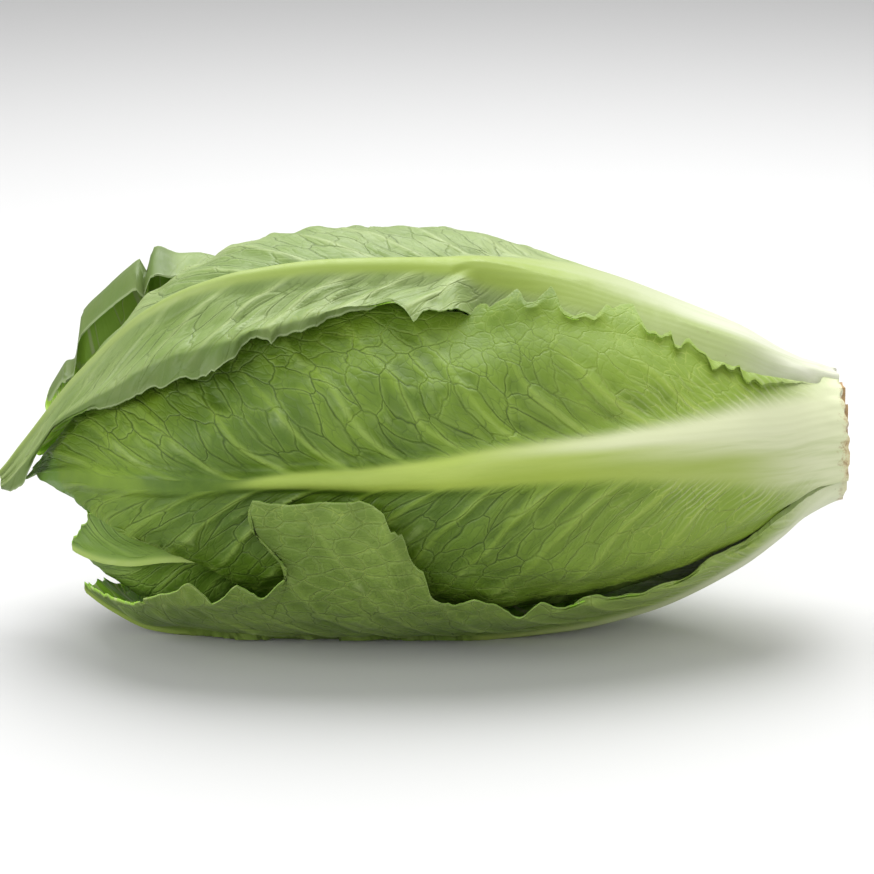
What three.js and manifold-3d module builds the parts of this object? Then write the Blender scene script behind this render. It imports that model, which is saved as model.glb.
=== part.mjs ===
// Head of romaine lettuce lying on its side. Millimetres, +X to the cut butt, -X to the leaf tips, Z up.
// Every leaf is a closed thin shell wrapped round the head, over the leaves that grew after it.
import * as THREE from 'three';
import Module from 'manifold-3d';

// ---- driving dimensions ----
const BUTT = 143, TIP = -147;       // where the cut butt and the furthest leaf tip are
const BLADE = 0.9;                  // thickness of a leaf blade
const OUTER_GAP = 1.2;              // air between the outer leaves
const INNER_GAP = 0.034;            // air between the inner leaves, as a share of the head's radius
const ROUND = 1.04;                 // the head is this much deeper than it is high
const FLAT = 2.2;                   // how far the leaves are pressed in where the head lies

// Side outline of the head: x, top z, bottom z
const OUTLINE = [
  [-150, 57, 45], [-145, 62, 41], [-138, 70, 35], [-130, 80, 27], [-120, 94, 16], [-108, 108, 7],
  [-95, 122, 1], [-77, 134, -1.2], [-60, 140, -FLAT], [-30, 144, -FLAT], [8, 143, -FLAT], [46, 133, 1],
  [76, 121.5, 8], [107, 107.5, 23], [122, 98.5, 34], [130, 95, 41], [143, 92, 47], [150, 91, 48],
];
const DEG = Math.PI / 180;

// ---- small helpers ----
const clamp = (v, a, b) => Math.min(b, Math.max(a, v));
const mix = (a, b, t) => a + (b - a) * t;
const smooth = (a, b, v) => { const t = clamp((v - a) / (b - a), 0, 1); return t * t * (3 - 2 * t); };
const rnd = (n) => { const v = Math.sin(n * 127.1 + 11.7) * 43758.5453; return v - Math.floor(v); };

// Smooth curve through rows of [at, value, value, ...], read at any place
function curve(rows, col = 1) {
  const x = rows.map((r) => r[0]), y = rows.map((r) => r[col]), n = x.length;
  const slope = y.map((_, i) => {
    if (i === 0) return (y[1] - y[0]) / (x[1] - x[0]);
    if (i === n - 1) return (y[n - 1] - y[n - 2]) / (x[n - 1] - x[n - 2]);
    const a = (y[i] - y[i - 1]) / (x[i] - x[i - 1]), b = (y[i + 1] - y[i]) / (x[i + 1] - x[i]);
    return a * b <= 0 ? 0 : 2 * a * b / (a + b);
  });
  return (v) => {
    v = clamp(v, Math.min(x[0], x[n - 1]), Math.max(x[0], x[n - 1]));
    let i = 0;
    while (i < n - 2 && (x[n - 1] > x[0] ? v > x[i + 1] : v < x[i + 1])) i++;
    const h = x[i + 1] - x[i], t = (v - x[i]) / h, t2 = t * t, t3 = t2 * t;
    return (2 * t3 - 3 * t2 + 1) * y[i] + (t3 - 2 * t2 + t) * h * slope[i]
      + (3 * t2 - 2 * t3) * y[i + 1] + (t3 - t2) * h * slope[i + 1];
  };
}

// ---- the head's outer form: depth d is measured inward from it ----
const topZ = curve(OUTLINE, 1), lowZ = curve(OUTLINE, 2);
const midZ = (x) => (topZ(x) + lowZ(x)) / 2;
const radius = (x) => (topZ(x) - lowZ(x)) / 2;
const slant = (x) => Math.min(2.2, Math.hypot(1, (radius(x + 2) - radius(x - 2)) / 4));
const place = (x, a, d) => [
  x, -(radius(x) * ROUND - d) * Math.cos(a), midZ(x) + (radius(x) - d) * Math.sin(a)];
// Depth at which the floor is met, and how far the leaves under the head are pressed in by it
const floorDepth = (x, a) => (Math.sin(a) < -0.1 ? radius(x) + midZ(x) / Math.sin(a) : -99);
const pressed = (x, a) => Math.max(0, floorDepth(x, a));

// ---- depth field: how deep the next leaf must start at each place round the head ----
const X0 = -156, X1 = 150, DX = 3, NX = (X1 - X0) / DX + 1, NA = 96, DA = 2 * Math.PI / NA;
const field = (v = 0) => new Float64Array(NX * NA).fill(v);
const wrap = (j) => ((j % NA) + NA) % NA;

function read(f, x, a) {
  const u = clamp((x - X0) / DX, 0, NX - 1.001), i = Math.floor(u), fu = u - i;
  const w = a / DA, j = Math.floor(w), fw = w - j, j0 = wrap(j), j1 = wrap(j + 1);
  return mix(mix(f[i * NA + j0], f[i * NA + j1], fw), mix(f[(i + 1) * NA + j0], f[(i + 1) * NA + j1], fw), fu);
}

// Spreads the field outward and smooths it, so that it never falls below what it was
function spread(f) {
  const reach = (x) => mix(12, 1.6, smooth(94, 138, x));
  const pass = (src, along, how, part) => {
    const out = field();
    for (let i = 0; i < NX; i++) {
      const x = X0 + i * DX, all = along
        ? Math.max(1, Math.round(reach(x) / DX))
        : clamp(Math.round(reach(x) / (Math.max(12, radius(x)) * DA)), 1, 9);
      const n = part === 0 ? all : part === 1 ? Math.floor(all / 2) : all - Math.floor(all / 2);
      for (let j = 0; j < NA; j++) {
        let v = how === 'max' ? -99 : 0;
        for (let k = -n; k <= n; k++) {
          const s = along ? src[clamp(i + k, 0, NX - 1) * NA + j] : src[i * NA + wrap(j + k)];
          v = how === 'max' ? Math.max(v, s) : v + s / (2 * n + 1);
        }
        out[i * NA + j] = v;
      }
    }
    return out;
  };
  let g = pass(pass(f, true, 'max', 0), false, 'max', 0);
  for (const part of [1, 2]) g = pass(pass(g, true, 'mean', part), false, 'mean', part);
  return g;
}

// ---- one leaf ----
// stations: [x, lower margin, rib, upper margin] in degrees round the head, 0 to the front, 90 up.
// ribs: [share of length, half width, thickness]; tip: how far each corner lags behind the rib's end.
const RIB = [[0, 12.3, 5.2], [0.07, 13, 6.4], [0.18, 10, 5.8], [0.31, 7, 4.6], [0.45, 5, 3.6], [0.6, 3.9, 2.8],
  [0.75, 2.8, 2], [1, 1.6, 1.2]];

function leafGrid(leaf) {
  const low = curve(leaf.stations, 1), rib = curve(leaf.stations, 2), up = curve(leaf.stations, 3);
  const rows = leaf.rows, side = leaf.cols, cols = 2 * side;
  const xb = leaf.stations[0][0], xt = leaf.stations[leaf.stations.length - 1][0];
  const scale = leaf.ribScale ?? 1;
  const halfWidth = curve(RIB, 1), thick = curve(RIB, 2);
  const grid = [], cuts = leaf.cuts ?? [];
  const xs = Array.from({ length: rows + 1 }, (_, i) => mix(xb, xt, 1 - Math.pow(1 - i / rows, 1.12)))
    .filter((x) => x === xb || x === xt || cuts.every((c) => Math.abs(c - x) > 5)).concat(cuts);
  xs.sort((a, b) => b - a);
  for (let i = 0; i < xs.length; i++) {
    const x = xs[i], s = (xb - x) / (xb - xt), row = [];
    const ribWide = halfWidth(s) * scale, T = thick(s) * scale;
    for (let j = 0; j <= cols; j++) {
      const k = j - side, sign = Math.sign(k), upper = k > 0;
      const R = Math.max(16, radius(x));
      const margin = upper ? up(x) - rib(x) : rib(x) - low(x);
      const wide = margin * DEG * R, ribA = Math.min(ribWide, wide * 0.62);
      const f = Math.abs(k) <= 1 ? 0 : (Math.abs(k) - 1) / (side - 1);
      let off = k === 0 ? 0 : mix(ribA, wide, Math.pow(f, 0.9));
      const edge = wide > 0 ? off / wide : 0;
      const rim = Math.abs(k) === side;
      // teeth of the margin
      const n = i * 7 + j * 3 + leaf.seed * 31;
      const even = leaf.even && x > leaf.even[0] && x < leaf.even[1] ? 0 : 1;
      const grow = even * smooth(0.1, 0.22, s) * leaf.teeth * (upper ? leaf.upTeeth ?? 1 : 1);
      if (rim) off += grow * (i % 2 ? -0.9 : 0.3 + 0.9 * rnd(n));
      // the rounded tip
      const lag = (upper ? leaf.tip[1] : leaf.tip[0]) * Math.pow(edge, 1.8) * smooth(0.35, 1, s);
      let px = x + lag;
      if (i === xs.length - 1 && j % 2) px += leaf.teeth * (0.6 + 0.8 * rnd(n + 5));
      const a = rib(x) * DEG + sign * off / R;
      if (leaf.skew) px += leaf.skew(x, a / DEG);
      row.push({ x: px, a, s, edge, sign, k, T });
    }
    grid.push(row);
  }
  return grid;
}

// Marks the places that a leaf covers, with the depth its inner side reaches there
function cover(grid, f, value) {
  for (let i = 0; i + 1 < grid.length; i++) for (let j = 0; j + 1 < grid[0].length; j++) {
    const q = [grid[i][j], grid[i + 1][j], grid[i + 1][j + 1], grid[i][j + 1]];
    const n = 1 + Math.ceil(Math.max(Math.abs(q[0].x - q[1].x) / 1.5, Math.abs(q[0].a - q[3].a) / (DA * 0.5)));
    for (let p = 0; p <= n; p++) for (let r = 0; r <= n; r++) {
      const u = p / n, w = r / n;
      const blend = (key) => mix(mix(q[0][key], q[1][key], u), mix(q[3][key], q[2][key], u), w);
      const ci = clamp(Math.floor((blend('x') - X0) / DX), 0, NX - 2), cj = Math.floor(blend('a') / DA);
      const v = value(blend);
      for (const row of [ci, ci + 1]) for (const col of [cj, cj + 1]) {
        const at = row * NA + wrap(col);
        f[at] = Math.max(f[at], v);
      }
    }
  }
}

// Sets each vertex's outer and inner depth
function shape(grid, leaf, under) {
  for (const row of grid) for (const p of row) {
    const f = slant(p.x), R = radius(p.x);
    const base = Math.max(read(under, p.x, p.a), pressed(p.x, p.a));
    const ribby = Math.abs(p.k) <= 1, relief = leaf.inner ? 1.2 : 2;
    const bladeIn = relief * (ribby ? (p.k === 0 ? 0 : 0.55) : 1) * smooth(0.05, 0.2, p.s);
    const free = smooth(0.12, 0.3, p.s);
    const wave = leaf.ruffle * free * Math.pow(p.edge, 2.2)
      * (0.5 + 0.5 * Math.sin(2 * Math.PI * (p.s * leaf.waves + 0.13 * leaf.seed) + p.sign * 1.3));
    const cell = Math.sin(p.x * 0.19 + leaf.seed * 2.1 + p.k * 1.7) * Math.cos(p.x * 0.07 - p.k * 2.3);
    const pucker = ribby ? 0 : leaf.pucker * free * (0.5 + 0.5 * cell);
    const press = floorDepth(p.x, p.a) > 0 && read(under, p.x, p.a) < 0.01 ? 0 : 1;
    const lift = leaf.lift ? leaf.lift(p) : 0;
    // where no leaf lies over this margin it also waves outward
    const open = 1 - smooth(0, 0.5, read(under, p.x, p.a));
    const flutter = (leaf.flutter ?? 0) * free * open * Math.pow(p.edge, 2.5)
      * (0.5 + 0.5 * Math.sin(2 * Math.PI * (p.s * leaf.waves * 0.8 + 0.37 * leaf.seed) + p.sign * 2.1));
    p.out = Math.max(base + (bladeIn + wave + pucker) * press - lift - flutter, floorDepth(p.x, p.a));
    const share = ribby ? (p.k === 0 ? 1 : 0.55) : 0.6 * (1 - smooth(0.02, 0.2, p.s));
    const t = Math.max(BLADE, BLADE + (p.T - BLADE) * share) * f;
    p.in = Math.min(p.out + t, R * 0.93);
  }
}

function shell(grid) {
  const rows = grid.length - 1, cols = grid[0].length - 1, w = cols + 1, pos = [], tri = [];
  for (const key of ['out', 'in']) for (const row of grid) {
    for (const p of row) pos.push(...place(p.x, p.a, p[key]));
  }
  const o = (i, j) => i * w + j, n = (i, j) => (rows + 1) * w + i * w + j;
  for (let i = 0; i < rows; i++) for (let j = 0; j < cols; j++) {
    const turn = (i + j) % 2;
    const quad = turn ? [[0, 0], [1, 0], [1, 1], [0, 1]] : [[1, 0], [1, 1], [0, 1], [0, 0]];
    const a = quad.map(([u, v]) => o(i + u, j + v)), b = quad.map(([u, v]) => n(i + u, j + v));
    tri.push(a[0], a[2], a[1], a[0], a[3], a[2], b[0], b[1], b[2], b[0], b[2], b[3]);
  }
  const rim = [];
  for (let j = 0; j < cols; j++) rim.push([0, j]);
  for (let i = 0; i < rows; i++) rim.push([i, cols]);
  for (let j = cols; j > 0; j--) rim.push([rows, j]);
  for (let i = rows; i > 0; i--) rim.push([i, 0]);
  rim.forEach(([i, j], m) => {
    const [i2, j2] = rim[(m + 1) % rim.length];
    tri.push(o(i, j), n(i, j), n(i2, j2), o(i, j), n(i2, j2), o(i2, j2));
  });
  return { pos, tri };
}

function geometry({ pos, tri }) {
  const g = new THREE.BufferGeometry();
  g.setAttribute('position', new THREE.Float32BufferAttribute(pos, 3));
  g.setIndex(tri);
  // Faces look outward when the closed volume comes out positive
  let volume = 0;
  for (let i = 0; i < tri.length; i += 3) {
    const [a, b, c] = [0, 1, 2].map((k) => new THREE.Vector3().fromArray(pos, tri[i + k] * 3));
    volume += a.dot(b.cross(c)) / 6;
  }
  if (volume < 0) g.setIndex(tri.map((_, i) => tri[i - (i % 3) + [0, 2, 1][i % 3]]));
  g.computeVertexNormals();
  return g;
}

// A leaf like most of them, from where it grows and how long and wide it is
function common(base, mid, xb, xt, wide) {
  const at = (x, w, lean) => [x, lean - w, lean, lean + w];
  const L = xb - xt, lean = (s) => mix(base, mid, smooth(0, 0.35, s));
  return [[0, 31], [0.06, 33], [0.15, 0.62 * wide], [0.3, 0.86 * wide], [0.55, wide], [0.8, 0.95 * wide],
    [0.93, 0.8 * wide], [1, 0.62 * wide]].map(([s, w]) => at(xb - L * s, w, lean(s)));
}

const LEAVES = [
  { // under the head: it lies on this leaf, whose torn front margin stands up before leaf 1
    name: 'leaf_03', rows: 18, cols: 5, teeth: 2.6, ruffle: 1.4, flutter: 2.5, waves: 5, pucker: 0.8, seed: 3,
    tip: [24, 20], cuts: [-12, -18, -26, -35, -44, -52, -59],
    stations: [[BUTT, -106, -72, -39], [130, -110, -74, -38], [108, -126, -76, -40], [80, -139, -79, -43],
      [40, -146, -80, -44], [0, -148, -82, -43], [-8, -148, -82, -36], [-20, -147, -82, -8],
      [-44, -146, -82, -4], [-52, -145, -82, -3], [-59, -143, -82, -29], [-92, -136, -82, -36],
      [-108, -128, -82, -36], [-118, -118, -82, -42]],
    lift: (p) => 2.5 * smooth(0.7, 1, p.edge) * (p.sign > 0 ? 1 : 0) * smooth(10, -30, p.x),
    skew: (x, a) => -18 * smooth(-26, -50, x) * smooth(-32, -8, a),
  },
  { // the big leaf to the front
    name: 'leaf_01', rows: 23, cols: 6, teeth: 2.2, upTeeth: 2, ruffle: 1.4, flutter: 1.6, waves: 6,
    pucker: 1.9, seed: 1, tip: [26, 2], cuts: [112, 101, 90, 79, 68, 57, 46, 36, 26, 15, 5],
    even: [6, 24],
    stations: [[BUTT, -34, 20, 62.5], [130, -36, 20, 62], [111, -40, 19, 60], [90, -45, 17, 71],
      [66, -50, 13, 78],
      [45, -52, 9, 76], [34, -54, 6, 70], [25, -55, 4, 60], [15, -56, 2, 56], [5, -57, 1, 53.5],
      [-8, -57, 0, 60], [-40, -56, 0, 58], [-67, -50, 1, 54], [-90, -38, 5, 53], [-110, -22, 10, 57], [-129, -9, 20, 57]],
  },
  { // the leaf above it, over leaf 1 at the tips and under it at the butt
    name: 'leaf_04', rows: 28, cols: 6, teeth: 1.6, ruffle: 1, flutter: 1.5, waves: 7, pucker: 1.9, seed: 4,
    tip: [5, 6], even: [4, 26],
    stations: [[BUTT, 67.5, 99, 131], [130, 66, 98, 133], [107, 60, 95, 140], [76, 56, 91, 146],
      [46, 55, 81, 142], [33, 58, 78, 138], [26, 61, 77, 132], [15, 58, 75, 126], [4, 55, 73, 121],
      [-8, 50.5, 72, 117], [-40, 47, 69, 106], [-64, 42, 66, 101], [-81, 37, 64, 98], [-95, 36, 63, 95], [-108, 37, 64, 92],
      [-126, 36, 62, 92], [-138, 22, 50, 86], [TIP, 2, 34, 76]],
    lift: (p) => (p.sign < 0 ? 1 : 0) * 5 * smooth(8, -28, p.x) * Math.pow(p.edge, 2)
      + 2 * smooth(-110, -141, p.x) + 4 * (p.sign > 0 ? 1 : 0) * smooth(-60, -100, p.x) * Math.pow(p.edge, 3),
  },
  { name: 'leaf_02', rows: 20, cols: 5, teeth: 2.8, ruffle: 1.8, flutter: 4.5, waves: 6, pucker: 1.9, seed: 2,
    tip: [14, 16],
    stations: [[BUTT, 138, 170, 201], [127, 136, 169, 203], [103, 118, 162, 205], [63, 96, 154, 214],
      [-4, 88, 152, 219], [-50, 98, 152, 217], [-70, 106, 152, 214], [-84, 108, 153, 210],
      [-105, 106, 155, 203], [-124, 110, 160, 194], [-136, 122, 162, 190]],
    // its upper margin stands up clear of the head near the tip and folds over to the front
    lift: (p) => (p.sign < 0 ? 1 : 0) * smooth(0.42, 0.84, p.edge)
      * (18 * smooth(-72, -94, p.x) + 8 * smooth(-98, -122, p.x)) },
  { name: 'leaf_05', rows: 20, cols: 5, teeth: 2.8, ruffle: 2, flutter: 4.5, waves: 5, pucker: 1.9, seed: 5,
    tip: [24, 24], stations: common(236, 206, BUTT, -124, 64),
    lift: (p) => 5 * smooth(-90, -124, p.x) * smooth(0.9, 0.4, p.edge) },
  { // its tip stands out a little between leaves 4 and 2
    name: 'leaf_07', rows: 18, cols: 5, teeth: 2.8, ruffle: 2, flutter: 2.5, waves: 6, pucker: 1, seed: 7,
    tip: [18, 16],
    stations: common(134, 116, 137, -122, 60),
    lift: (p) => 9 * smooth(-92, -118, p.x) * smooth(94, 99, p.a / DEG) * smooth(114, 106, p.a / DEG) },
  { name: 'leaf_06', rows: 18, cols: 5, teeth: 2.8, ruffle: 2, flutter: 2.5, waves: 5, pucker: 1, seed: 6,
    tip: [24, 24], stations: common(-14, -34, 136, -120, 64) },
  { name: 'leaf_08', rows: 16, cols: 4, teeth: 2.8, ruffle: 2, flutter: 2.5, waves: 5, pucker: 1, seed: 8,
    tip: [22, 22], stations: common(270, 250, 134, -118, 60) },
  { name: 'leaf_09', rows: 16, cols: 4, teeth: 2.6, ruffle: 2.4, waves: 5, pucker: 0.8, seed: 9, tip: [20, 20],
    stations: common(64, 34, 133, -120, 58) },
  { name: 'leaf_10', rows: 16, cols: 4, teeth: 2.6, ruffle: 2.4, waves: 5, pucker: 0.8, seed: 10, tip: [20, 20],
    stations: common(203, 176, 131, -117, 60) },
];
// the leaves further in
[[11, -46, -62, 122, -110], [12, 98, 80, 121, -114], [13, 238, 220, 120, -112], [14, 20, -4, 118, -108],
  [15, 160, 134, 116, -110], [16, 290, 272, 102, -104], [17, 60, 52, 100, -104], [18, 196, 188, 98, -102],
].forEach(([n, base, mid, xb, xt]) => LEAVES.push({
  name: `leaf_${n}`, rows: 13, cols: n > 15 ? 3 : 4, teeth: 2.4, ruffle: 2.2, waves: 4, pucker: 0.7, seed: n,
  tip: [18, 18], ribScale: n > 15 ? 0.6 : 0.75, inner: true, stations: common(base, mid, xb, xt, n > 15 ? 66 : 62),
}));

// ---- wrap the leaves, from the outside in ----
const grids = new Map(LEAVES.map((leaf) => [leaf.name, leafGrid(leaf)]));
const gapAt = (leaf, x) => slant(x) * (leaf.inner || /0[6-9]|10/.test(leaf.name)
  ? Math.max(0.9, INNER_GAP * radius(x)) : mix(OUTER_GAP, 1, smooth(110, 135, x)));
const CROSS = [8, 22];              // leaves 1 and 4 change places between these, edge to edge
const depth = field();

// Only the part of a leaf on one side of the crossing counts for the other leaf
function veil(leaf, keep) {
  const f = depth.slice();
  cover(grids.get(leaf.name), f, (blend) => (keep(blend('x')) ? blend('in') + gapAt(leaf, blend('x')) : 0));
  return spread(f);
}
const byName = (name) => LEAVES.find((leaf) => leaf.name === name);
function settle(leaf, under) {
  shape(grids.get(leaf.name), leaf, under);
  cover(grids.get(leaf.name), depth, (blend) => blend('in') + gapAt(leaf, blend('x')));
}
const [under1, front, above] = ['leaf_03', 'leaf_01', 'leaf_04'].map(byName);
settle(under1, field());
{
  // leaf 4 first at its own level, to see where it covers leaf 1, then each under the other's part
  shape(grids.get(above.name), above, spread(depth));
  for (const p of grids.get(above.name).flat()) { p.out = Math.max(p.out, 0); p.in = p.out + 2.4; }
  const overFront = veil(above, (x) => x < CROSS[0]);
  shape(grids.get(front.name), front, overFront);
  const overAbove = veil(front, (x) => x > CROSS[1]);
  shape(grids.get(above.name), above, overAbove);
  for (const leaf of [front, above]) {
    cover(grids.get(leaf.name), depth, (blend) => blend('in') + gapAt(leaf, blend('x')));
  }
}
for (const leaf of LEAVES.slice(3)) settle(leaf, spread(depth));

// ---- stem: the short core, cut flat at the butt ----
const STEM = [[BUTT, 14.6], [137.5, 9.6], [131, 7], [126, 6.4], [120, 5.4], [114, 4.4], [106, 2.8]];
const stemR = curve(STEM, 1);
function turned(rings, n, at) {
  const pos = [], tri = [];
  rings.forEach((ring) => { for (let j = 0; j < n; j++) pos.push(...at(ring, 2 * Math.PI * j / n)); });
  for (let i = 0; i + 1 < rings.length; i++) for (let j = 0; j < n; j++) {
    const a = i * n + j, b = i * n + (j + 1) % n, c = a + n, d = b + n;
    tri.push(a, c, b, b, c, d);
  }
  const last = (rings.length - 1) * n;
  for (let j = 1; j + 1 < n; j++) tri.push(0, j, j + 1, last, last + j + 1, last + j);
  return { pos, tri };
}
const inside = spread(depth);
const taken = (x, a) => Math.max(...[-0.09, 0, 0.09].map((turn) => read(depth, x, a + turn)));
const between = (x, a) => read(inside, x, a) * smooth(141, 135, x);
const stem = turned(STEM.map((r) => r[0]), 24, (x, a) => {
  const r = Math.max(1.5, Math.min(stemR(x), radius(x) - Math.max(taken(x, a), between(x, a)) - 1));
  return [x, -r * Math.cos(a), midZ(x) + r * Math.sin(a)];
});

// ---- heart: the closed bud in the middle, its small leaves grown together below ----
const wasm = await Module();
wasm.setup();
function solid({ pos, tri }) {
  const g = geometry({ pos, tri });
  return new wasm.Manifold(new wasm.Mesh({
    numProp: 3, vertProperties: new Float32Array(pos), triVerts: new Uint32Array(g.index.array) }));
}
const room = spread(depth);
const HEART = [[84, 0.25], [74, 0.6], [58, 0.85], [30, 0.97], [0, 1], [-30, 0.94], [-56, 0.76], [-74, 0.5],
  [-84, 0.22]];
const heartShare = curve(HEART, 1);
let heart = solid(turned(HEART.map((r) => r[0]), 24, (x, a) => {
  const d = Math.min(read(room, x, a) + 1.2, radius(x) - 3), r = (radius(x) - d) * heartShare(x);
  const fold = 1 - 0.07 * (((a / (2 * Math.PI)) * 5 + x * 0.008 + 10) % 1);
  return place(x, a, radius(x) - r * fold);
}));
// Its leaves: the lower half of each is inside the core, the upper half stands out of it
[[19, 20, -96], [20, 150, -98], [21, 265, -95]].forEach(([n, mid, xt]) => {
  const leaf = { name: `bud_${n}`, rows: 9, cols: 3, teeth: 2, ruffle: 1.6, waves: 3, pucker: 0.5, seed: n,
    tip: [16, 16], ribScale: 0.5, inner: true, stations: common(mid, mid, 30, xt, 74) };
  const grid = leafGrid(leaf);
  shape(grid, leaf, spread(depth));
  cover(grid, depth, (blend) => blend('in') + gapAt(leaf, blend('x')));
  heart = heart.add(solid(shell(grid)));
});
// Only its outer skin: pockets shut in between a small leaf and the core are solid
function skin(mesh) {
  const pos = Array.from(mesh.vertProperties), tri = Array.from(mesh.triVerts);
  const group = pos.map((_, i) => i);
  const root = (i) => { while (group[i] !== i) i = group[i] = group[group[i]]; return i; };
  for (let i = 0; i < tri.length; i += 3) for (const k of [1, 2]) group[root(tri[i + k])] = root(tri[i]);
  const count = new Map();
  for (const v of tri) count.set(root(v), (count.get(root(v)) ?? 0) + 1);
  const main = [...count].sort((a, b) => b[1] - a[1])[0][0];
  const kept = tri.filter((_, i) => root(tri[i - (i % 3)]) === main);
  const index = new Map(), out = [];
  for (const v of kept) {
    if (!index.has(v)) { index.set(v, index.size); out.push(...pos.slice(3 * v, 3 * v + 3)); }
  }
  return { pos: out, tri: kept.map((v) => index.get(v)) };
}
const heartSkin = skin(heart.getMesh());

// ---- the part ----
const group = new THREE.Group();
group.name = 'romaine_lettuce';
function add(name, geo, color) {
  const mesh = new THREE.Mesh(geo, new THREE.MeshStandardMaterial({ color, roughness: 0.55 }));
  mesh.name = name;
  group.add(mesh);
}
add('stem', geometry(stem), '#e6ead2');
for (const leaf of [...LEAVES].sort((a, b) => a.name.localeCompare(b.name))) {
  add(leaf.name, geometry(shell(grids.get(leaf.name))), leaf.inner ? '#b7cf77' : '#86ab4e');
}
add('heart', geometry(heartSkin), '#dfe39a');

// The origin is under the middle of the head, on the surface it lies on
const box = new THREE.Box3().setFromObject(group), mid = box.getCenter(new THREE.Vector3());
for (const mesh of group.children) mesh.geometry.translate(-mid.x, -mid.y, -box.min.z);

export default group;
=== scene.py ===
"""A head of romaine lettuce lying on its side: wrapped leaves with broad ribs, puckered blades and
torn, waved margins, round a closed heart, with the cut butt at +X and the leaf tips at -X."""
import math

import bpy
import numpy as np
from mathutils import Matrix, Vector


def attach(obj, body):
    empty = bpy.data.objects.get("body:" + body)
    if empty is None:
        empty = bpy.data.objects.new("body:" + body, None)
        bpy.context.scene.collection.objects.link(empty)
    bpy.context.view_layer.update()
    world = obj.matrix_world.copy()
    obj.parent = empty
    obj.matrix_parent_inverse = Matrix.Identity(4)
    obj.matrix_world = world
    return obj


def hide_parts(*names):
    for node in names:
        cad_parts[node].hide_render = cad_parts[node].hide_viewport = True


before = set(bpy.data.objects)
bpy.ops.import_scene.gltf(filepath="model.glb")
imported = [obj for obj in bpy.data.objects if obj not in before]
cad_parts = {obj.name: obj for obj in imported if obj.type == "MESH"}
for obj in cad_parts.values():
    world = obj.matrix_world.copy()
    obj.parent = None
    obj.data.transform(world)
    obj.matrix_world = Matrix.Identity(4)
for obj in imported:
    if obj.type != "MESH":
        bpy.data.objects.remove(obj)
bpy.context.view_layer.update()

MM = 0.001
SHIFT = np.array([2.0, 2.098, 0.0])         # the head's own centre line in the row frame, mm
BUTT, TIP = 143.0, -147.0
BLADE = 0.9                                 # wall of a blade, mm
THINNEST = 0.55                             # wall at a leaf's margin, mm
OUTER_GAP, INNER_GAP = 1.2, 0.034           # mm between outer leaves, share of the radius further in
UNDER_ROOM = 1.7                            # mm from a tucked margin to the skin of the leaf over it
ROUND = 1.04                                # how much deeper than high the head is
FLAT = 2.2                                  # mm by which the round form would sink into the floor
DEG = math.pi / 180

for o in bpy.context.selected_objects:
    o.select_set(False)

# side outline of the head: x, top z, bottom z
OUTLINE = [
    (-150, 57, 45), (-145, 62, 41), (-138, 70, 35), (-130, 80, 27), (-120, 94, 16), (-108, 108, 7),
    (-95, 122, 1), (-77, 134, -1.2), (-60, 140, -FLAT), (-30, 144, -FLAT), (8, 143, -FLAT), (46, 133, 1),
    (76, 121.5, 8), (107, 107.5, 23), (122, 98.5, 34), (130, 95, 41), (143, 92, 47), (150, 91, 48)]


# ------------------------------------------------------------------ small helpers
def smooth(a, b, v):
    t = np.clip((v - a) / (b - a), 0, 1)
    return t * t * (3 - 2 * t)


def mix(a, b, t):
    return a + (b - a) * t


def curve(rows, col=1):
    """A smooth curve through rows of (at, value, ...), read at any places."""
    x = np.array([r[0] for r in rows], float)
    y = np.array([r[col] for r in rows], float)
    if x[0] > x[-1]:
        x, y = x[::-1], y[::-1]
    d = np.diff(y) / np.diff(x)
    m = np.zeros_like(y)
    m[0], m[-1] = d[0], d[-1]
    for i in range(1, len(x) - 1):
        m[i] = 0 if d[i - 1] * d[i] <= 0 else 2 * d[i - 1] * d[i] / (d[i - 1] + d[i])

    def read_at(v):
        v = np.clip(np.asarray(v, float), x[0], x[-1])
        i = np.clip(np.searchsorted(x, v, side="right") - 1, 0, len(x) - 2)
        h = x[i + 1] - x[i]
        t = (v - x[i]) / h
        t2, t3 = t * t, t * t * t
        return ((2 * t3 - 3 * t2 + 1) * y[i] + (t3 - 2 * t2 + t) * h * m[i]
                + (3 * t2 - 2 * t3) * y[i + 1] + (t3 - t2) * h * m[i + 1])
    return read_at


def hashed(n):
    v = np.sin(np.asarray(n, float) * 127.1 + 11.7) * 43758.5453
    return v - np.floor(v)


def lumps(u, v, seed):
    """Soft uneven undulation between 0 and 1 over a plane."""
    total = 0
    for k in range(5):
        a = hashed(seed * 9.1 + k) * 6.283
        f = 0.6 + 0.9 * hashed(seed * 3.7 + k * 2.3)
        total = total + np.sin((u * math.cos(a) + v * math.sin(a)) * f + hashed(seed + k * 5.5) * 6.283)
    return 0.5 + total / 10


# ------------------------------------------------------------------ small helpers for meshes
def points_of(o):
    co = np.empty(3 * len(o.data.vertices))
    o.data.vertices.foreach_get("co", co)
    return co.reshape(-1, 3)


def set_points(o, at):
    """Moves every point to its place, given in mm round the head's own centre line."""
    o.data.vertices.foreach_set("co", ((at + SHIFT) * MM).ravel())


def write_mark(o, name, value):
    """Writes a number, or a row of three, on every point."""
    kind, key = ("FLOAT_VECTOR", "vector") if value.ndim > 1 else ("FLOAT", "value")
    mark = o.data.attributes.new(name, kind, "POINT")
    mark.data.foreach_set(key, np.ascontiguousarray(value, np.float32).ravel())


def edit_all(*jobs):
    """Does each job in edit mode with the whole mesh selected."""
    bpy.ops.object.mode_set(mode="EDIT")
    for job in jobs:
        bpy.ops.mesh.select_all(action="SELECT")
        job()
    bpy.ops.object.mode_set(mode="OBJECT")


def face_outwards():
    bpy.ops.mesh.normals_make_consistent(inside=False)


def slice_at(z):
    return lambda: bpy.ops.mesh.bisect(plane_co=(0, 0, z), plane_no=(0, 0, 1))


# ------------------------------------------------------------------ the head's outer form
top_z, low_z = curve(OUTLINE, 1), curve(OUTLINE, 2)


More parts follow.
